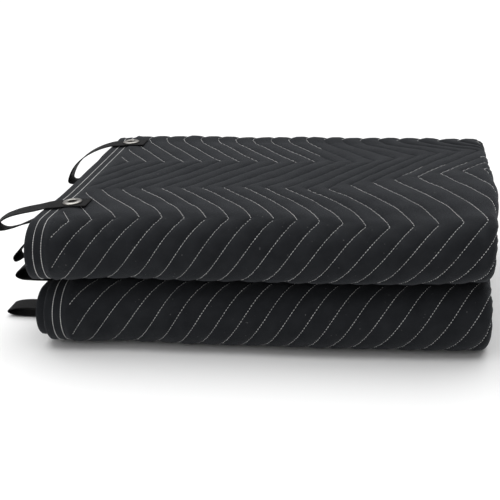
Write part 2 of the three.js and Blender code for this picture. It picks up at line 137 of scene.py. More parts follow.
def drape(x, y, z):
    """Settled place of a point of the cloth, with its softer lie."""
    x, y, z = (np.asarray(v, dtype=float) for v in (x, y, z))
    upper = smooth((z - UPPER_FROM) / UPPER_OVER)
    back = np.interp(x, SET_X, SET_LOWER) * (1 - upper) + np.interp(x, SET_X, SET_UPPER) * upper
    higher = np.clip((z - TOP_FROM) / TOP_OVER, 0, 1)
    shoulder = smooth((CREST_Y - y) / CREST_REACH) * np.interp(x, CREST_X, CREST_RISE)
    crown = CROWN * np.exp(-((y - CROWN_Y) / CROWN_REACH) ** 2)
    crown = crown * smooth((x - CROWN_X) / CROWN_SIDE)
    rear = smooth((y - REAR_Y) / REAR_REACH)
    front = smooth((FRONT_START - y) / FRONT_REACH)
    left, right = smooth((LEFT_X - x) / LEFT_REACH), smooth((x - RIGHT_X) / RIGHT_REACH)
    dx = right * (RIGHT_OUT - front * (RIGHT_IN_LOWER + RIGHT_IN_UPPER * upper))
    dx = dx - left * front * (LEFT_SLANT * back + LEFT_OUT_LOWER * (1 - upper))
    dy = back * front + REAR_OUT * rear
    dz = higher * (shoulder + crown + REAR_UP * rear)
    return settle(x + dx, y + dy, z + dz)


# ---- fold path: straight runs and arcs of the outer face, end to end. A "line" gives its y
# from and to, z and inward z; an "arc" its centre y and z, radius and angles; "up" its y, z
# from and to and inward y. Each ends with its step along the cloth and how openly it shows.
UPPER_Z = 4 * LEVEL + STRIP
MIDDLE_TOP = 2 * LEVEL + STRIP
SEGMENTS = [
    ("line", FRONT_Y + END_SHORT, CURL_Y, UPPER_Z, -1, 14.0, 0.0),
    ("arc", CURL_Y, UPPER_Z - TIGHT, TIGHT, 90, -90, 7.0, 0.0),
    ("line", CURL_Y, FRONT_Y, 3 * LEVEL, 1, 14.0, 0.0),
    ("arc", FRONT_Y, TOP_Z - WIDE, WIDE, -90, -270, ROW_STEP, 1.0),
    ("line", FRONT_Y, CORNER_Y, TOP_Z, -1, ROW_STEP, 1.0),
    ("arc", CORNER_Y, TOP_Z - SPINE_R, SPINE_R, 90, 0, 4.5, 1.0),
    ("up", BACK_Y, TOP_Z - SPINE_R, SPINE_R, -1, 4.5, 1.0),
    ("arc", CORNER_Y, SPINE_R, SPINE_R, 0, -90, 4.5, 1.0),
    ("line", CORNER_Y, FRONT_Y, 0.0, 1, 14.0, 0.0),
    ("arc", FRONT_Y, WIDE, WIDE, -90, -270, ROW_STEP, 1.0),
    ("line", FRONT_Y, CURL_Y, MIDDLE_TOP, -1, 14.0, 0.0),
    ("arc", CURL_Y, MIDDLE_TOP - TIGHT, TIGHT, 90, -90, 7.0, 0.0),
    ("line", CURL_Y, FRONT_Y + END_SHORT, LEVEL, 1, 14.0, 0.0),
]
UPPER_FOLD, TOP_FACE, UNDERSIDE, LOWER_FOLD = 3, 4, 8, 9  # places in SEGMENTS


def run_of(segment):
    """Length of a segment along the cloth."""
    if segment[0] == "arc":
        return math.radians(abs(segment[5] - segment[4])) * segment[3]
    return abs(segment[2] - segment[1]) if segment[0] == "line" else segment[2] - segment[3]


STARTS = np.concatenate([[0.0], np.cumsum([run_of(seg) for seg in SEGMENTS])])
STARTS = STARTS - STARTS[TOP_FACE]


def path(s):
    """Place, inward direction and how openly it shows, at runs along the cloth."""
    s = np.atleast_1d(np.asarray(s, dtype=float))
    out = np.zeros((len(s), 5))
    which = np.clip(np.searchsorted(STARTS, s, side="right") - 1, 0, len(SEGMENTS) - 1)
    for k, seg in enumerate(SEGMENTS):
        at = which == k
        if not at.any():
            continue
        run = s[at] - STARTS[k]
        if seg[0] == "line":
            y = seg[1] + math.copysign(1, seg[2] - seg[1]) * run
            out[at] = np.stack([y, y * 0 + seg[3], y * 0, y * 0 + seg[4], y * 0 + seg[-1]], 1)
        elif seg[0] == "up":
            out[at] = np.stack([run * 0 + seg[1], seg[2] - run, run * 0 + seg[4],
                                run * 0, run * 0 + seg[-1]], 1)
        else:
            a = np.radians(seg[4] - np.degrees(run / seg[3]))
            out[at] = np.stack([seg[1] + seg[3] * np.cos(a), seg[2] + seg[3] * np.sin(a),
                                -np.cos(a), -np.sin(a), a * 0 + seg[-1]], 1)
    return out


LOWER_START, LOWER_END = STARTS[LOWER_FOLD], STARTS[LOWER_FOLD + 1]
FOLD_RUN = math.pi * WIDE
ARMS_TO_LOWER, HIDDEN_ARMS = 4, 8
FRONT_TIP_RUN = -11.5  # the first tip lies a little down the front fold


def zigzag_corners():
    """Runs along the cloth at which the stitch rows turn."""
    corners = [0.0] + TOP_CORNERS
    behind = LOWER_START - TOP_CORNERS[-1]
    corners += [TOP_CORNERS[-1] + behind * k / ARMS_TO_LOWER
                for k in range(1, ARMS_TO_LOWER + 1)]
    corners += [LOWER_START + FOLD_RUN + k * HIDDEN_PITCH for k in range(HIDDEN_ARMS)]
    before = [-FOLD_RUN - k * HIDDEN_PITCH for k in range(HIDDEN_ARMS)]
    return np.array(before[::-1] + corners)


CORNERS = zigzag_corners()
FIRST_TIP = int(np.argmin(np.abs(CORNERS)))
CORNERS[FIRST_TIP] = FRONT_TIP_RUN
CORNER_SHIFT = np.array([0.0 if (k - FIRST_TIP) % 2 == 0 else -SWING
                         for k in range(len(CORNERS))])
# by a row's place across: drift of its notch and of the tip behind, and bow of its first arm
NOTCH_X, NOTCH_DRIFT = [55, 108, 205, 245], [0, 31, 76, 92]
REAR_TIP_X, REAR_TIP_DRIFT = [88, 184, 250], [0, 56, 76]
BOW_X, BOW = [-100, 60, 230], [0.16, 0.24, 0.42]


def row_corners(place):
    """The zigzag's corners in one row; they drift back towards the right end."""
    corners = CORNERS.copy()
    corners[FIRST_TIP + 1] += np.interp(place - SWING, NOTCH_X, NOTCH_DRIFT)
    corners[FIRST_TIP + 2] += np.interp(place, REAR_TIP_X, REAR_TIP_DRIFT)
    return corners


def stitch_x(j, s):
    """Sideways run of stitch row j, its first arm bowed where it comes to the tip."""
    place = TIP_X + j * PITCH
    corners = row_corners(place)
    t = (s - corners[FIRST_TIP]) / (corners[FIRST_TIP + 1] - corners[FIRST_TIP])
    bow = np.interp(place, BOW_X, BOW)
    eased = SWING * bow * np.clip(t, 0, 1) * np.clip(1 - t, 0, 1)
    return place + np.interp(s, corners, CORNER_SHIFT) + eased


def hems(s):
    """x of the outer and the second ply's hem."""
    low = np.where(s < 0, 0.0, np.clip((s - TOP_CORNERS[2]) / (SPINE_R * 3), 0, 1))
    outer = HEM_UPPER + HEM_INSET * low
    return outer, outer - (INNER_UPPER + (INNER_LOWER - INNER_UPPER) * low)


def place_on(s, x, d):
    """A point of the section, carried to its place in the stack."""
    p = path(s)
    return drape(x, p[:, 0] + p[:, 2] * d, p[:, 1] + p[:, 3] * d)


# ---- relief of the outer face
WAVELENGTHS = [120, 84, 61, 47, 33, 26, 19]
WAVE_HEIGHTS = [0.34, 0.27, 0.22, 0.18, 0.13, 0.09, 0.06]
rng = np.random.default_rng(11)
WAVES = [(2 * math.pi / w, t, p, a) for w, t, p, a in zip(
    WAVELENGTHS, rng.uniform(0, math.pi, 7),
    rng.uniform(0, 2 * math.pi, 7), WAVE_HEIGHTS)]


def unevenness(u, s):
    """Gentle waves of the open cloth, in millimetres."""
    total = np.zeros(np.broadcast(u, s).shape)
    for k, turn, phase, amount in WAVES:
        total = total + amount * np.sin(k * (u * math.cos(turn) + s * math.sin(turn)) + phase)
    return total


def wrapped(u, depth):
    """Run across the outer face, round the right fold where it goes past it."""
    angle = np.clip((u - RIGHT) / MID, 0, math.pi)
    flat = u <= RIGHT
    radius = MID - depth
    x = np.where(flat, u, RIGHT + radius * np.sin(angle))
    return x, np.where(flat, depth, MID - radius * np.cos(angle))


# one row's puff: places across it, and how far each sinks towards the groove
COLUMNS = np.array([0, 0.9, 3.2, 7.6, 14.8, 19.2, 21.5]) / PITCH
SINK = np.array([1.0, 0.8, 0.42, 0.1, 0.1, 0.42, 0.8])
FIRST_ROW, LAST_ROW = -2, 23
END_RUN = RIGHT + math.pi * MID
HEM_FADE, END_FADE = 7.0, 5.0  # the relief dies away next to the hem and round the right fold
PROUD = 0.15  # the open face stands this far off the solid's
PUCKER, PUCKER_RUN, PUCKER_TURN = 0.16, 8.7, 1.9
STITCH_LINES = (9.6, 18.2)  # the two hem rows, from the hem's edge
# places across the two hems and the depth of the cloth there
HEM_BAND = [(0.15, 2.7), (0.8, 2.05), (3.2, 1.75), (STITCH_LINES[0], 2.45), (13.9, 1.7),
            (STITCH_LINES[1], 2.45), (20.6, 1.75), (22.8, 1.0)]
INNER_BAND = [(1.2, 2.05), (3.4, 1.75), (STITCH_LINES[0], 2.35), (13.5, 1.75), (18.5, 1.9),
              (HEM_RAMP, 0)]
LEFT_STEPS, RIGHT_STEPS = 10, 6  # steps round the section's folds


def pucker(j, s):
    """How the thread gathers groove j along its run."""
    return 1 + PUCKER * np.sin(s * 2 * math.pi / PUCKER_RUN + PUCKER_TURN * j)


def edge_fade(u, start):
    return np.clip((u - start) / HEM_FADE, 0, 1) * np.clip((END_RUN - u) / END_FADE, 0, 1)


def outer_face(s, shown):
    """Depths of the outer face in every row: the hem band, then the puffs."""
    outer, _ = hems(s)
    start = outer + HEM_RAMP
    xs = [outer + off for off, _ in HEM_BAND]
    ds = [np.full_like(s, d) for _, d in HEM_BAND]
    rows = {j: stitch_x(j, s) for j in range(FIRST_ROW, LAST_ROW + 2)}
    for j in range(FIRST_ROW, LAST_ROW + 1):
        gathered = pucker(j, s)
        for column, sink in zip(COLUMNS, SINK):
            free = rows[j] + (rows[j + 1] - rows[j]) * column
            u = np.clip(free, start, END_RUN)
            fade = edge_fade(u, start)
            depth = QUILT * sink * fade * np.where(sink > 0.5, gathered, 1)
            depth = depth - shown * fade * (unevenness(u, s) + PROUD)
            x, d = wrapped(u, depth)
            xs.append(x)
            ds.append(d)
    return xs, ds


def arc_points(x, depth, radius, side, from_top, steps):
    """Inner points of a half circle that turns one ply into the next."""
    points = []
    for k in range(1, steps):
        a = math.pi * k / steps
        c = -math.cos(a) if from_top else math.cos(a)
        points.append((x + side * radius * math.sin(a), depth + radius * c))
    return points


def sections(s, shown):
    """Rings of the strip's section, one for each run along the cloth."""
    outer, inner = hems(s)
    left = outer + FOLD_BACK
    one = np.ones_like(s)
    xs, ds = outer_face(s, shown)

    def add(points):
        for x, d in points:
            xs.append(x * one)
            ds.append(d * one)

    across = [RIGHT] + KNOT_X[3:0:-1]
    back = across[::-1]
    top = [ply * (PLY + PLY_GAP) for ply in range(4)]
    under = [t + PLY for t in top]
    left_depth = (top[2] + under[3]) / 2
    small = PLY + PLY_GAP / 2
    add([(x, under[3]) for x in across] + [(left, under[3])])
    add(arc_points(left, left_depth, small, -1, False, LEFT_STEPS))
    add([(left, top[2])] + [(x, top[2]) for x in back])
    add([(RIGHT + PLY_GAP / 2, MID)])
    add([(x, under[1]) for x in across] + [(inner + 1.6, under[1]), (inner + 0.4, under[1] - 0.6)])
    add([(inner, (top[1] + HEM_DROP + under[1]) / 2), (inner + 0.3, top[1] + HEM_DROP + 0.7)])
    add([(inner + off, top[1] + d) for off, d in INNER_BAND])
    add([(x, top[1]) for x in back])
    add(arc_points(RIGHT, MID, small, 1, True, RIGHT_STEPS))
    add([(x, under[2]) for x in across] + [(left, under[2])])
    add([(left - PLY_GAP / 2, left_depth), (left, top[3])] + [(x, top[3]) for x in back])
    add(arc_points(RIGHT, MID, MID - PLY, 1, False, RIGHT_STEPS))
    add([(x, under[0]) for x in across])
    add([(outer + 1.6, under[0]), (outer + 0.4, under[0] - 0.6), (outer, 3.6)])
    return np.stack(xs, 1), np.stack(ds, 1)


LEAST_STEP = 0.5


def row_runs():
    """Runs along the cloth at which its section is placed."""
    runs = []
    for k, seg in enumerate(SEGMENTS):
        length = STARTS[k + 1] - STARTS[k]
        steps = max(int(round(length / seg[-2])), 1)
        runs += list(STARTS[k] + length * np.arange(steps) / steps)
        if seg[0] == "line":
            lo, hi = sorted((seg[1], seg[2]))
            runs += [STARTS[k] + abs(y - seg[1]) for y in KNOT_Y if lo < y < hi]
    runs.append(STARTS[-1] - 1e-6)
    runs += [c for c in CORNERS if STARTS[0] < c < STARTS[-1]]
    runs = sorted(runs)
    kept = [runs[0]]
    for value in runs[1:]:
        if value - kept[-1] > LEAST_STEP:
            kept.append(value)
    return np.array(kept)


def new_object(name, verts, faces, uvs=None):
    mesh = bpy.data.meshes.new(name)
    mesh.from_pydata([tuple(v) for v in verts], [], faces)
    if uvs is not None:
        layer = mesh.uv_layers.new(name="run")
        index = np.empty(len(mesh.loops), dtype=np.int32)
        mesh.loops.foreach_get("vertex_index", index)
        layer.data.foreach_set("uv", np.asarray(uvs, dtype=np.float32)[index].ravel())
    mesh.shade_smooth()
    obj = bpy.data.objects.new(name, mesh)
    bpy.context.scene.collection.objects.link(obj)
    return obj


WELD_DISTANCE, TINY_EDGE = 2e-6, 1e-7


def weld(obj):
    """Joins points that coincide and turns every face outwards."""
    bm = bmesh.new()
    bm.from_mesh(obj.data)
    bmesh.ops.remove_doubles(bm, verts=bm.verts, dist=WELD_DISTANCE)
    bmesh.ops.dissolve_degenerate(bm, edges=bm.edges, dist=TINY_EDGE)
    bmesh.ops.recalc_face_normals(bm, faces=bm.faces)
    bm.to_mesh(obj.data)
    bm.free()


def quilted_blanket():
    """The cloth: its section swept along the fold path, closed at both ends."""
    s = row_runs()
    p = path(s)
    # the relief fades where the cloth runs in under the fold and to the floor
    shown = np.convolve(np.pad(p[:, 4], 3, mode="edge"), np.ones(7) / 7, mode="valid") * p[:, 4]
    x, d = sections(s, shown)
    n = x.shape[1]
    y = p[:, 0:1] + p[:, 2:3] * d
    z = p[:, 1:2] + p[:, 3:4] * d
    points = drape(x, y, z).reshape(-1, 3)
    step = np.hypot(np.diff(x, axis=1), np.diff(d, axis=1))
    across = np.concatenate([np.zeros((len(s), 1)), np.cumsum(step, axis=1)], 1)
    uvs = np.stack([across * MM, np.repeat(s[:, None], n, 1) * MM], -1).reshape(-1, 2)
    faces = []
    for r in range(len(s) - 1):
        for k in range(n):
            a, b = r * n + k, r * n + (k + 1) % n
            faces.append((a, b, b + n, a + n))
    faces.append(tuple(range(n))[::-1])
    faces.append(tuple(range((len(s) - 1) * n, len(s) * n)))
    obj = new_object("quilted_blanket", points, faces, uvs)
    weld(obj)
    return obj


# ---- stitches: each one a short thread lying in its groove. Length, gap and thread radius
QUILT_STITCH, QUILT_GAP, QUILT_THREAD = 2.2, 1.1, 0.35
HEM_STITCH, HEM_GAP, HEM_THREAD = 2.5, 0.12, 0.42
INNER_STITCH, INNER_GAP, INNER_THREAD = 2.2, 1.2, 0.30
GROOVE_LIFT, HEM_LIFT, INNER_DEPTH = 0.22, -2.25, 2.15
# the top face's middle arms have sunk out of sight, but for their ends towards the right
SUNK_UNTIL, SUNK_RUN, REAR_SHOWN_UNTIL = 135, 55, 40
ARM_POINTS, LEAST_POINTS = 60, 3
HEM_CLEAR, FOLD_SHARE = 2, 2.6  # a row starts past the hem and goes on round the right fold
PAST_FOLD, PAST_FLOOR, HEM_STEP, HEM_BREAK = 18, 6, 2.0, 4
STITCH_SPREAD = (0.9, 1.06)
# a stitch's two ends and middle: place along it, share of its thickness, and bow
STITCH_FORM = ((0.0, 0.45, -0.35), (0.5, 1.0, 0.55), (1.0, 0.45, -0.35))


def groove_depth(j, s, u, shown):
    """Depth of the outer face in the groove of stitch row j."""
    fade = edge_fade(u, hems(s)[0] + HEM_RAMP)
    return fade * (QUILT * pucker(j, s) - shown * (unevenness(u, s) + PROUD))


def surface(s, u, lift):
    """Point just off the outer face at run s along the cloth and u across it."""
    x, d = wrapped(u, -lift)
    return place_on(s, x, d)


def thread_mesh(name, starts, ends, outs, thick):
    """Small rounded stitches between their two ends, bowed outwards."""
    verts, faces = [], []
    for a, b, out in zip(starts, ends, outs):
        along = (b - a).normalized()
        side = along.cross(out).normalized() * thick
        up = out.normalized() * thick
        base = len(verts)
        for t, size, bow in STITCH_FORM:
            c = a.lerp(b, t) + up * bow
            verts += [c + side * size, c + up * size, c - side * size, c - up * size]
        for r in (0, 4):
            for k in range(4):
                m = (k + 1) % 4
                faces.append((base + r + k, base + r + m, base + r + 4 + m, base + r + 4 + k))
        faces.append((base + 3, base + 2, base + 1, base))
        faces.append((base + 8, base + 9, base + 10, base + 11))
    return new_object(name, verts, faces)


def stitches_along(curve_s, curve_u, stitch, gap, lift, jitter, point):
    """Stitch ends at even steps along a polyline given in the cloth's own runs."""
    fine = point(curve_s, curve_u, lift) / MM
    lengths = np.concatenate([[0], np.cumsum(np.linalg.norm(np.diff(fine, axis=0), axis=1))])
    starts, ends, outs = [], [], []
    at = jitter.uniform(0, stitch)
    while at + stitch < lengths[-1]:
        length = stitch * jitter.uniform(*STITCH_SPREAD)
        pair = np.interp([at, at + length], lengths, curve_s)
        across = np.interp([at, at + length], lengths, curve_u)
        low = point(pair, across, lift)
        high = point(pair, across, lift + 1.0)
        starts.append(Vector(low[0]))
        ends.append(Vector(low[1]))
        outs.append(Vector((high[0] + high[1] - low[0] - low[1]) / 2).normalized())
        at += length + gap
    return starts, ends, outs


def add_to(groups, part):
    for group, values in zip(groups, part):
        group += values


def quilting_thread():
    jitter = random.Random(5)
    groups = ([], [], [])
    for j in range(FIRST_ROW, LAST_ROW + 2):
        def in_groove(runs, across, lift, row=j):
            shown = path(runs)[:, 4]
            return surface(runs, across, lift - groove_depth(row, runs, across, shown))

        corners = row_corners(TIP_X + j * PITCH)
        for k in range(len(corners) - 1):
            s = np.linspace(corners[k], corners[k + 1], ARM_POINTS)
            u = stitch_x(j, s)
            inside = (s > STARTS[0]) & (s < STARTS[-1] - 1)
            past_hem = u > hems(s)[0] + HEM_RAMP + HEM_CLEAR
            on_face = past_hem & (u < RIGHT) & (path(s)[:, 4] > 0.5)
            on_fold = (u >= RIGHT) & (u < RIGHT + FOLD_SHARE * MID)
            if k == FIRST_TIP + 1:
                on_face = on_face & (u > SUNK_UNTIL) & (s < corners[k] + SUNK_RUN)
            if k == FIRST_TIP + 2:
                on_face = on_face & (u < REAR_SHOWN_UNTIL)
            use = inside & (on_face | on_fold)
            edges = np.flatnonzero(np.diff(np.concatenate([[0], use.astype(int), [0]])))
            for first, last in zip(edges[::2], edges[1::2]):
                if last - first >= LEAST_POINTS:
                    add_to(groups, stitches_along(s[first:last], u[first:last], QUILT_STITCH,
                                                  QUILT_GAP, GROOVE_LIFT, jitter, in_groove))
    return thread_mesh("quilting_thread", *groups, QUILT_THREAD * MM)


def hem_thread():
    """Two close rows along the hem, but not where it lies on the floor."""
    jitter = random.Random(8)
    groups = ([], [], [])
    s = np.arange(STARTS[UPPER_FOLD] - PAST_FOLD, LOWER_END + PAST_FOLD, HEM_STEP)
    s = s[(s < STARTS[UNDERSIDE] + PAST_FLOOR) | (s > LOWER_START - PAST_FLOOR)]
    for run in np.split(s, np.flatnonzero(np.diff(s) > HEM_BREAK) + 1):
        for off in STITCH_LINES:
            add_to(groups, stitches_along(run, hems(run)[0] + off, HEM_STITCH, HEM_GAP,
                                          HEM_LIFT, jitter, surface))
    return thread_mesh("hem_thread", *groups, HEM_THREAD * MM)


def inner_hem_thread():
    """The second ply's hem row round the lower fold."""
    jitter = random.Random(9)
    groups = ([], [], [])
    s = np.arange(LOWER_START + HEM_BREAK, LOWER_END - HEM_BREAK, HEM_STEP)

    def on_second_ply(runs, across, lift):
        return place_on(runs, across, PLY + PLY_GAP + INNER_DEPTH - lift)

    add_to(groups, stitches_along(s, hems(s)[1] + STITCH_LINES[0], INNER_STITCH, INNER_GAP,
                                  0.0, jitter, on_second_ply))
    return thread_mesh("inner_hem_thread", *groups, INNER_THREAD * MM)


# ---- webbing loops: the loop's y, its eyelet's x, then stations as the solids have them,
# each x and z and, where the band leans, a tilt in degrees
SEAT, WEB_THICK, WEB_WIDTH = 0.35, 1.4, 25.4
ON_TOP = TOP_Z - HEM_DROP + SEAT + WEB_THICK / 2
UNDER_TOP = TOP_Z - PLY - SEAT - WEB_THICK / 2
OVER_CLOTH = TOP_Z + SEAT + WEB_THICK / 2
UP_LOW = 3 * LEVEL + TOP_Z - UNDER_TOP
DOWN_LOW = 3 * LEVEL + TOP_Z - ON_TOP
LOOPS = {
    "loop_front_top": (-103, -202, [
        (-184, OVER_CLOTH), (-194, OVER_CLOTH), (-205, OVER_CLOTH), (-216, OVER_CLOTH - 0.7),
        (-228, ON_TOP + 0.6), (-241, 139), (-256, 136.5), (-270, 133), (-282, 127),
        (-289, 119.5, -4), (-283, 115.5, -8), (-270, 117, -10), (-256, 122, -10),
        (-244, 126.5, -8), (-237, 132, -4), (-232, UNDER_TOP - 0.2), (-224, UNDER_TOP),
        (-216.6, UNDER_TOP)]),
    "loop_back_top": (141, -204, [
        (-185, OVER_CLOTH), (-195, OVER_CLOTH), (-206, OVER_CLOTH), (-217, OVER_CLOTH - 0.7),
        (-229, ON_TOP + 0.6), (-247, 136.5), (-264, 128), (-278, 116.5), (-287, 103),
        (-290, 92), (-284, 90), (-274, 98), (-262, 109), (-249, 120), (-238.5, 130.5),
        (-232, UNDER_TOP - 0.4), (-224, UNDER_TOP - 0.3), (-216.6, UNDER_TOP - 0.3)]),
    "loop_middle_level": (-92, None, [
        (-216.6, ON_TOP - LEVEL), (-222, ON_TOP - LEVEL), (-229, ON_TOP - LEVEL), (-238, 114),
        (-249, 106.5), (-259, 98), (-268, 88.5), (-275, 79.5), (-273.5, 75.5), (-266, 78.5),
        (-257, 86.5), (-248, 95), (-240, 103.5), (-235, 109.3),
        (-231.5, UNDER_TOP - LEVEL - 0.2), (-224, UNDER_TOP - LEVEL),
        (-216.6, UNDER_TOP - LEVEL)]),
    "loop_low_level": (-137, None, [
        (-216.6, UP_LOW), (-222, UP_LOW + 0.2), (-231.5, UP_LOW + 0.2), (-236, 81),
        (-243, 86.5), (-251, 83), (-254.5, 77.5), (-249, 73.8), (-239, 72.8),
        (-228, DOWN_LOW), (-222, DOWN_LOW), (-216.6, DOWN_LOW)]),
    "loop_lower_bulge": (-77, None, [
        (-208, TOP_Z - UNDER_TOP), (-222, TOP_Z - UNDER_TOP), (-232, 6.6), (-246, 8.6),
        (-262, 10.2), (-278, 10.4), (-290, 8.8), (-297, 5.6), (-291, 2.2), (-281, 1.15),
        (-262, 1.0), (-240, TOP_Z - ON_TOP), (-222, TOP_Z - ON_TOP), (-208, TOP_Z - ON_TOP)]),
}


LINE_POINTS, CURVE_STEPS, BAND_POINTS = 130, 24, 25
EDGE_THINNING, RIB_SHARE, RIB_TURN = 0.35, 0.1, 34


def centripetal(points, steps):
    """Even points on a centripetal Catmull-Rom curve through the given ones."""
    pts = np.vstack([2 * points[0] - points[1], points, 2 * points[-1] - points[-2]])
    out = []
    for i in range(1, len(pts) - 2):
        p0, p1, p2, p3 = pts[i - 1:i + 3]
        t = [0.0]
        for a, b in ((p0, p1), (p1, p2), (p2, p3)):
            t.append(t[-1] + max(np.linalg.norm(b - a) ** 0.5, 1e-6))
        for w in np.linspace(t[1], t[2], CURVE_STEPS, endpoint=False):
            a1 = (t[1] - w) / (t[1] - t[0]) * p0 + (w - t[0]) / (t[1] - t[0]) * p1
            a2 = (t[2] - w) / (t[2] - t[1]) * p1 + (w - t[1]) / (t[2] - t[1]) * p2
            a3 = (t[3] - w) / (t[3] - t[2]) * p2 + (w - t[2]) / (t[3] - t[2]) * p3
            b1 = (t[2] - w) / (t[2] - t[0]) * a1 + (w - t[0]) / (t[2] - t[0]) * a2
            b2 = (t[3] - w) / (t[3] - t[1]) * a2 + (w - t[1]) / (t[3] - t[1]) * a3
            out.append((t[2] - w) / (t[2] - t[1]) * b1 + (w - t[1]) / (t[2] - t[1]) * b2)
    out = np.array(out + [pts[-2]])
    run = np.concatenate([[0], np.cumsum(np.linalg.norm(np.diff(out, axis=0), axis=1))])
    even = np.linspace(0, run[-1], steps)
    return np.stack([np.interp(even, run, out[:, c]) for c in range(3)], 1), even


def webbing(name, y, stations):
    """A ribbed band swept along its stations."""
    xz = np.array([(s[0], s[1]) for s in stations], dtype=float)
    tilt = np.array([s[2] if len(s) > 2 else 0.0 for s in stations])
    route = settle(xz[:, 0], np.full(len(xz), float(y)), xz[:, 1])
    line, run = centripetal(route, LINE_POINTS)
    tilts = np.radians(np.interp(np.linspace(0, 1, LINE_POINTS),
                                 np.linspace(0, 1, len(tilt)), tilt))
    half_w, half_t = WEB_WIDTH / 2, WEB_THICK / 2 - 0.05
    profile = []
    for w in np.linspace(-1, 1, BAND_POINTS):
        ribbed = 1 - RIB_SHARE + RIB_SHARE * math.cos(w * RIB_TURN)
        profile.append((w * half_w, half_t * (EDGE_THINNING if abs(w) > 0.98 else ribbed)))
    ring = profile + [(w, -t) for w, t in profile[::-1]]
    verts, uvs, faces = [], [], []
    n = len(ring)
    for k, point in enumerate(line):
        ahead = Vector(line[min(k + 1, LINE_POINTS - 1)] - line[max(k - 1, 0)]).normalized()
        wide = Matrix.Rotation(tilts[k], 3, ahead) @ Vector((0, 1, 0))
        wide = (wide - ahead * wide.dot(ahead)).normalized()
        thick = ahead.cross(wide)
        for w, t in ring:
            verts.append(Vector(point) + wide * w * MM + thick * t * MM)
            uvs.append((w * MM, run[k]))
    for k in range(len(line) - 1):
        for m in range(n):
            a, b = k * n + m, k * n + (m + 1) % n
            faces.append((a, a + n, b + n, b))
    faces.append(tuple(range(n)))
    faces.append(tuple(range((LINE_POINTS - 1) * n, LINE_POINTS * n))[::-1])
    obj = new_object(name + "_webbing", verts, faces, uvs)
    weld(obj)
    return obj


# ---- eyelets and the holes under them
BORE, BARREL, HOLE = 4.75, 5.75, 6.1  # radii
RING_TURNS, HOLE_TURNS = 72, 40


def cloth_frame(x, y):
    """Place and lean of the top face at x and y."""
    def at(dx, dy):
        return Vector(settle(x + dx, y + dy, TOP_Z))

    reach = 8
    up = (at(reach, 0) - at(-reach, 0)).cross(at(0, reach) - at(0, -reach)).normalized()
    turn = Vector((0, 0, 1)).rotation_difference(up)
    return Matrix.Translation(at(0, 0)) @ turn.to_matrix().to_4x4()


def lathe(name, profile, turns, place):
    """A closed profile of radius and height, turned about its axis."""
    verts, faces = [], []
    n = len(profile)
    for k in range(turns):
        a = 2 * math.pi * k / turns
        verts += [place @ Vector((r * MM * math.cos(a), r * MM * math.sin(a), z * MM))
                  for r, z in profile]
    for k in range(turns):
        for m in range(n):
            a, b = k * n + m, k * n + (m + 1) % n
            c, d = ((k + 1) % turns) * n + m, ((k + 1) % turns) * n + (m + 1) % n
            faces.append((a, c, d, b))
    obj = new_object(name, verts, faces)
    weld(obj)
    return obj


def eyelet(name, place):
    rest = SEAT + WEB_THICK + 0.3
    rim = [(8.6, 1.62), (9.5, 1.32), (10.1, 0.8), (10.3, 0.2), (10.2, 0.0)]
    inner = [(BORE, 0.85), (4.95, 1.3), (5.4, 1.62), (6.2, 1.72), (7.4, 1.74)]
    profile = [(BORE, -PLY + 0.3), (BORE, rest)]
    profile += [(r, rest + z) for r, z in inner + rim]
    profile += [(BARREL, rest), (BARREL, -PLY + 0.3)]
    return lathe(name, profile, RING_TURNS, place)


def cut_hole(obj, place):
    below, above, axis = -PLY - 0.35, 5.0, 0.01
    cutter = lathe("cutter", [(axis, below), (HOLE, below), (HOLE, above), (axis, above)],
                   HOLE_TURNS, place)
    cutting = obj.modifiers.new("hole", "BOOLEAN")
    cutting.operation = "DIFFERENCE"
    cutting.solver = "EXACT"
    cutting.object = cutter
    bpy.context.view_layer.update()
    depsgraph = bpy.context.evaluated_depsgraph_get()
    done = bpy.data.meshes.new_from_object(obj.evaluated_get(depsgraph))
    obj.modifiers.clear()
    obj.data = done
    bpy.data.objects.remove(cutter)


# ---- materials
def material(name):
    mat = bpy.data.materials.new(name)
    mat.use_nodes = True
    nodes = mat.node_tree.nodes
    return mat, nodes, mat.node_tree.links, nodes["Principled BSDF"]


def noise(nodes, links, vector, scale, detail=3.0):
    node = nodes.new("ShaderNodeTexNoise")
    node.inputs["Scale"].default_value = scale
    node.inputs["Detail"].default_value = detail
    links.new(vector, node.inputs["Vector"])
    return node.outputs["Fac"]


def bands(nodes, links, vector, direction, scale, distortion=0.0):
    node = nodes.new("ShaderNodeTexWave")
    node.bands_direction = direction
    node.inputs["Scale"].default_value = scale
    node.inputs["Distortion"].default_value = distortion
    links.new(vector, node.inputs["Vector"])
    return node.outputs["Fac"]


def math_node(nodes, links, operation, a, b):
    node = nodes.new("ShaderNodeMath")
    node.operation = operation
    for socket, value in zip(node.inputs, (a, b)):
        if isinstance(value, (int, float)):
            socket.default_value = value
        else:
            links.new(value, socket)
    return node.outputs[0]


def ramp(nodes, links, fac, stops):
    node = nodes.new("ShaderNodeValToRGB")
    node.color_ramp.elements[0].position = stops[0][0]
    node.color_ramp.elements[0].color = stops[0][1] + (1,)
    node.color_ramp.elements[1].position = stops[-1][0]
    node.color_ramp.elements[1].color = stops[-1][1] + (1,)
    links.new(fac, node.inputs["Fac"])
    return node.outputs["Color"]


def bump(nodes, links, height, distance, strength, normal=None):
    node = nodes.new("ShaderNodeBump")
    node.inputs["Distance"].default_value = distance
    node.inputs["Strength"].default_value = strength
    links.new(height, node.inputs["Height"])
    if normal is not None:
        links.new(normal, node.inputs["Normal"])
    return node.outputs["Normal"]


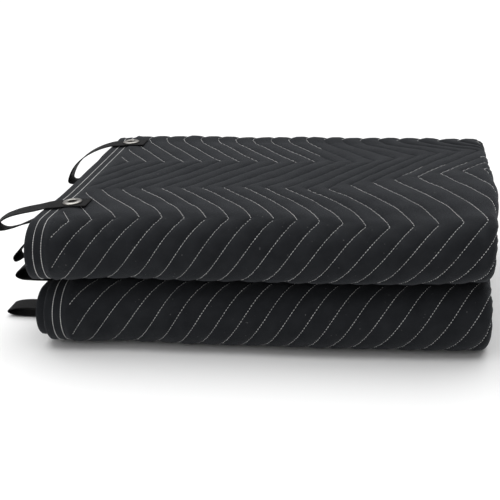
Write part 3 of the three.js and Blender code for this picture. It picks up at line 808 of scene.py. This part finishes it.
def cloth_material():
    mat, nodes, links, shader = material("quilted_cloth")
    uv = nodes.new("ShaderNodeTexCoord").outputs["UV"]
    obj = nodes.new("ShaderNodeTexCoord").outputs["Object"]
    tone = ramp(nodes, links, noise(nodes, links, obj, 55, 5),
                [(0.32, (0.0095, 0.0105, 0.0125)), (0.72, (0.0155, 0.0168, 0.0192))])
    lint = ramp(nodes, links, noise(nodes, links, obj, 420, 1),
                [(0.77, (0, 0, 0)), (0.80, (1, 1, 1))])
    mix = nodes.new("ShaderNodeMix")
    mix.data_type = "RGBA"
    links.new(lint, mix.inputs["Factor"])
    links.new(tone, mix.inputs[6])
    mix.inputs[7].default_value = (0.10, 0.10, 0.10, 1)
    links.new(mix.outputs[2], shader.inputs["Base Color"])
    weave = math_node(nodes, links, "MULTIPLY", bands(nodes, links, uv, "X", 260, 0.6),
                      bands(nodes, links, uv, "Y", 260, 0.6))
    fuzz = noise(nodes, links, obj, 900, 2)
    first = bump(nodes, links, weave, 0.0003, 0.7)
    links.new(bump(nodes, links, fuzz, 0.0004, 0.6, first), shader.inputs["Normal"])
    shader.inputs["Roughness"].default_value = 0.86
    shader.inputs["Specular IOR Level"].default_value = 0.12
    shader.inputs["Sheen Weight"].default_value = 0.13
    shader.inputs["Sheen Roughness"].default_value = 0.4
    shader.inputs["Sheen Tint"].default_value = (0.75, 0.78, 0.84, 1)
    return mat


def webbing_material():
    mat, nodes, links, shader = material("black_webbing")
    uv = nodes.new("ShaderNodeTexCoord").outputs["UV"]
    ribs = bands(nodes, links, uv, "DIAGONAL", 190, 0.2)
    wales = bands(nodes, links, uv, "X", 150, 0.1)
    weave = math_node(nodes, links, "MULTIPLY", ribs, wales)
    tone = ramp(nodes, links, weave, [(0.1, (0.003, 0.003, 0.0035)), (0.9, (0.009, 0.009, 0.010))])
    links.new(tone, shader.inputs["Base Color"])
    links.new(bump(nodes, links, weave, 0.0004, 0.9), shader.inputs["Normal"])
    shader.inputs["Roughness"].default_value = 0.6
    shader.inputs["Specular IOR Level"].default_value = 0.1
    shader.inputs["Sheen Weight"].default_value = 0.012
    return mat


def thread_material():
    mat, nodes, links, shader = material("white_thread")
    obj = nodes.new("ShaderNodeTexCoord").outputs["Object"]
    tone = ramp(nodes, links, noise(nodes, links, obj, 90, 3),
                [(0.3, (0.50, 0.50, 0.50)), (0.7, (0.84, 0.84, 0.83))])
    links.new(tone, shader.inputs["Base Color"])
    links.new(bump(nodes, links, bands(nodes, links, obj, "DIAGONAL", 700), 0.0001, 0.5),
              shader.inputs["Normal"])
    shader.inputs["Roughness"].default_value = 0.6
    return mat


def metal_material():
    mat, nodes, links, shader = material("plated_eyelet")
    obj = nodes.new("ShaderNodeTexCoord").outputs["Object"]
    wear = noise(nodes, links, obj, 240, 4)
    links.new(ramp(nodes, links, wear, [(0.3, (0.22, 0.21, 0.20)), (0.7, (0.44, 0.43, 0.40))]),
              shader.inputs["Base Color"])
    links.new(bump(nodes, links, wear, 0.0001, 0.35), shader.inputs["Normal"])
    shader.inputs["Metallic"].default_value = 1.0
    shader.inputs["Roughness"].default_value = 0.3
    return mat


def floor_material():
    mat, nodes, links, shader = material("pale_floor")
    obj = nodes.new("ShaderNodeTexCoord").outputs["Object"]
    links.new(ramp(nodes, links, noise(nodes, links, obj, 3, 2),
                   [(0.3, (0.90, 0.90, 0.90)), (0.7, (0.92, 0.92, 0.92))]),
              shader.inputs["Base Color"])
    shader.inputs["Roughness"].default_value = 0.9
    return mat


# ---- the camera, solved from the photograph: place in model millimetres, angles in radians,
# focal length in pixels of a picture PHOTO_SIDE wide
CAMERA_PLACE = (121.104, -980.368, 436.44)
CAMERA_YAW, CAMERA_PITCH, CAMERA_ROLL, FOCAL_PIXELS = 0.154, 0.369, 0.030, 915.24
SENSOR_WIDTH, PHOTO_SIDE = 36.0, 500.0


def set_camera():
    yaw, pitch, roll = CAMERA_YAW, CAMERA_PITCH, CAMERA_ROLL
    ahead = Vector((-math.sin(yaw) * math.cos(pitch), math.cos(yaw) * math.cos(pitch),
                    -math.sin(pitch)))
    right = Vector((math.cos(yaw), math.sin(yaw), 0))
    down = ahead.cross(right)
    x_axis = right * math.cos(roll) + down * math.sin(roll)
    y_axis = -(down * math.cos(roll) - right * math.sin(roll))
    data = bpy.data.cameras.new("photo_camera")
    data.sensor_fit = "HORIZONTAL"
    data.sensor_width = SENSOR_WIDTH
    data.lens = FOCAL_PIXELS * SENSOR_WIDTH / PHOTO_SIDE
    camera = bpy.data.objects.new("photo_camera", data)
    turn = Matrix((x_axis, y_axis, -ahead)).transposed().to_4x4()
    x, y, z = CAMERA_PLACE
    spot = Vector((x + SHIFT_X, y + SHIFT_Y, z)) * MM
    camera.matrix_world = Matrix.Translation(spot) @ turn
    bpy.context.scene.collection.objects.link(camera)
    bpy.context.scene.camera = camera


def area_light(name, spot, target, size, power):
    data = bpy.data.lights.new(name, "AREA")
    data.shape = "RECTANGLE"
    data.size, data.size_y = size
    data.energy = power
    light = bpy.data.objects.new(name, data)
    light.location = spot
    light.rotation_euler = (Vector(target) - Vector(spot)).to_track_quat("-Z", "Y").to_euler()
    bpy.context.scene.collection.objects.link(light)


set_camera()
cloth, web, thread, metal = (cloth_material(), webbing_material(), thread_material(),
                             metal_material())

blanket = quilted_blanket()
holes = {name: cloth_frame(eye, y) for name, (y, eye, _) in LOOPS.items() if eye is not None}
for place in holes.values():
    cut_hole(blanket, place)
blanket.data.materials.clear()
blanket.data.materials.append(cloth)
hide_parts("blanket")
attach(blanket, "root")

for name, (y, eye, stations) in LOOPS.items():
    band = webbing(name, y, stations)
    if eye is not None:
        cut_hole(band, holes[name])
    band.data.materials.clear()
    band.data.materials.append(web)
    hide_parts(name)
    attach(band, "root")

for name, place in holes.items():
    node = name.replace("loop", "eyelet")
    ring = eyelet(node + "_ring", place)
    ring.data.materials.append(metal)
    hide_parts(node)
    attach(ring, "root")

thread_pieces = [quilting_thread(), hem_thread(), inner_hem_thread()]
for piece in thread_pieces:
    piece.data.materials.append(thread)
    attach(piece, "root")

FLOOR_SIDE, FLOOR_DROP = 12, 0.0006  # the relief dips just below the solids' z 0
bpy.ops.mesh.primitive_plane_add(size=FLOOR_SIDE, location=(0, 0, -FLOOR_DROP))
floor = bpy.context.object
floor.name = "floor"
floor.data.materials.append(floor_material())

SUN_STRENGTH, SUN_ANGLE, WORLD_STRENGTH = 2.9, 80, 0.36  # a wide angle gives soft shadows
sun_data = bpy.data.lights.new("overhead", "SUN")
sun_data.energy = SUN_STRENGTH
sun_data.angle = math.radians(SUN_ANGLE)
sun = bpy.data.objects.new("overhead", sun_data)
sun.rotation_euler = (math.radians(-14), math.radians(-6), 0)
bpy.context.scene.collection.objects.link(sun)
area_light("left_fill", (-1.5, -1.3, 1.0), (0, 0, 0.08), (1.4, 1.4), 8)
world = bpy.context.scene.world or bpy.data.worlds.new("studio")
bpy.context.scene.world = world
world.use_nodes = True
world.node_tree.nodes["Background"].inputs["Color"].default_value = (1, 1, 1, 1)
world.node_tree.nodes["Background"].inputs["Strength"].default_value = WORLD_STRENGTH
bpy.context.scene.view_settings.view_transform = "Standard"
